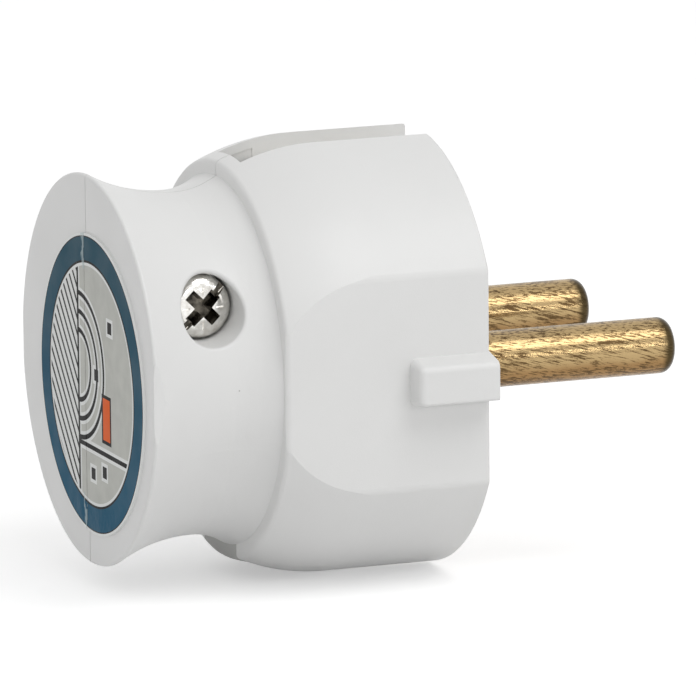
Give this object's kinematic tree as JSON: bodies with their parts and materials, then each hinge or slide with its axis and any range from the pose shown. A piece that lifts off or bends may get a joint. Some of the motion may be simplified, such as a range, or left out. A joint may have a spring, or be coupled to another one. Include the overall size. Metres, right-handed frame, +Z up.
{
  "type": "rewirable mains plug",
  "caption": "Rewirable two-pole and earth mains plug: split white housing with a round head, waisted finger grip, brass pins and a downward cord outlet.",
  "frame": {"origin": "centre of the front face that meets the socket, halfway between the two pins", "axes": "+X out of the front face along the pins, +Z up towards the earth contact's hole, -Y the side the housing screw enters"},
  "size_m": [0.0491, 0.0372, 0.0371],
  "materials": {
    "housing_plastic": "satin white moulded plastic",
    "carrier_plastic": "satin white moulded plastic",
    "grommet_plastic": "matt pale grey soft plastic",
    "pin_brass": "turned brass with drawing marks",
    "terminal_brass": "milled brass",
    "plated_strip": "nickel-plated strip",
    "nickel_screw": "bright nickel plate",
    "zinc_steel": "zinc-plated steel",
    "clamp_plastic": "matt moulded plastic",
    "printed_label": "satin printed film"
  },
  "bodies": {
    "housing": {"far_shell": "housing_plastic", "pin_carrier": "carrier_plastic", "line_pin": "pin_brass", "neutral_pin": "pin_brass", "earth_strap": "plated_strip", "earth_socket_sleeve": "plated_strip", "earth_terminal_block": "terminal_brass", "earth_rivet": "terminal_brass", "cord_grommet": "grommet_plastic", "threaded_insert": "terminal_brass", "label_far_half": "printed_label"},
    "near_cover": {"near_shell": "housing_plastic", "label_near_half": "printed_label"},
    "housing_screw_seat": {"housing_screw_washer": "nickel_screw"},
    "housing_screw": {"housing_screw": "nickel_screw"},
    "line_plate": {"line_pressure_plate": "zinc_steel"},
    "line_screw": {"line_terminal_screw": "zinc_steel"},
    "neutral_plate": {"neutral_pressure_plate": "zinc_steel"},
    "neutral_screw": {"neutral_terminal_screw": "zinc_steel"},
    "earth_plate": {"earth_pressure_plate": "zinc_steel"},
    "earth_screw": {"earth_terminal_screw": "zinc_steel"},
    "cord_clamp": {"cord_clamp_bar": "clamp_plastic"},
    "cord_screw_rear": {"cord_clamp_screw_rear": "zinc_steel"},
    "cord_screw_front": {"cord_clamp_screw_front": "zinc_steel"}
  },
  "joints": [
    {"name": "near_cover_lift", "type": "slide", "parent": "housing", "child": "near_cover", "axis": [0, -1, 0], "range_m": [0, 0.026]},
    {"name": "housing_screw_travel", "type": "slide", "parent": "near_cover", "child": "housing_screw_seat", "axis": [0, -1, 0], "range_m": [0, 0.0067]},
    {"name": "housing_screw_turn", "type": "hinge", "parent": "housing_screw_seat", "child": "housing_screw", "pos_m": [-0.0235, 0, 0.0067], "axis": [0, -1, 0], "range_deg": [0, 5041]},
    {"name": "line_plate_travel", "type": "slide", "parent": "housing", "child": "line_plate", "axis": [0, 1, 0], "range_m": [0, 0.002]},
    {"name": "line_screw_turn", "type": "hinge", "parent": "line_plate", "child": "line_screw", "pos_m": [-0.0112, 0.0095, 0], "axis": [0, 1, 0], "range_deg": [0, 1441]},
    {"name": "neutral_plate_travel", "type": "slide", "parent": "housing", "child": "neutral_plate", "axis": [0, 1, 0], "range_m": [0, 0.002]},
    {"name": "neutral_screw_turn", "type": "hinge", "parent": "neutral_plate", "child": "neutral_screw", "pos_m": [-0.0112, -0.0095, 0], "axis": [0, 1, 0], "range_deg": [0, 1441]},
    {"name": "earth_plate_travel", "type": "slide", "parent": "housing", "child": "earth_plate", "axis": [0, 1, 0], "range_m": [0, 0.002]},
    {"name": "earth_screw_turn", "type": "hinge", "parent": "earth_plate", "child": "earth_screw", "pos_m": [-0.0186, 0, 0], "axis": [0, 1, 0], "range_deg": [0, 1441]},
    {"name": "cord_clamp_travel", "type": "slide", "parent": "housing", "child": "cord_clamp", "axis": [0, 1, 0], "range_m": [0, 0.0018]},
    {"name": "cord_screw_rear_turn", "type": "hinge", "parent": "cord_clamp", "child": "cord_screw_rear", "pos_m": [-0.01875, 0, -0.0088], "axis": [0, 1, 0], "range_deg": [0, 1441]},
    {"name": "cord_screw_front_turn", "type": "hinge", "parent": "cord_clamp", "child": "cord_screw_front", "pos_m": [-0.00975, 0, -0.0088], "axis": [0, 1, 0], "range_deg": [0, 1441]}
  ],
  "couplings": [
    {"joint": "housing_screw_turn", "follows": "housing_screw_travel", "rad_per_m": 12566},
    {"joint": "line_screw_turn", "follows": "line_plate_travel", "rad_per_m": 12566},
    {"joint": "neutral_screw_turn", "follows": "neutral_plate_travel", "rad_per_m": 12566},
    {"joint": "earth_screw_turn", "follows": "earth_plate_travel", "rad_per_m": 12566},
    {"joint": "cord_screw_rear_turn", "follows": "cord_clamp_travel", "rad_per_m": 13963},
    {"joint": "cord_screw_front_turn", "follows": "cord_clamp_travel", "rad_per_m": 13963}
  ]
}
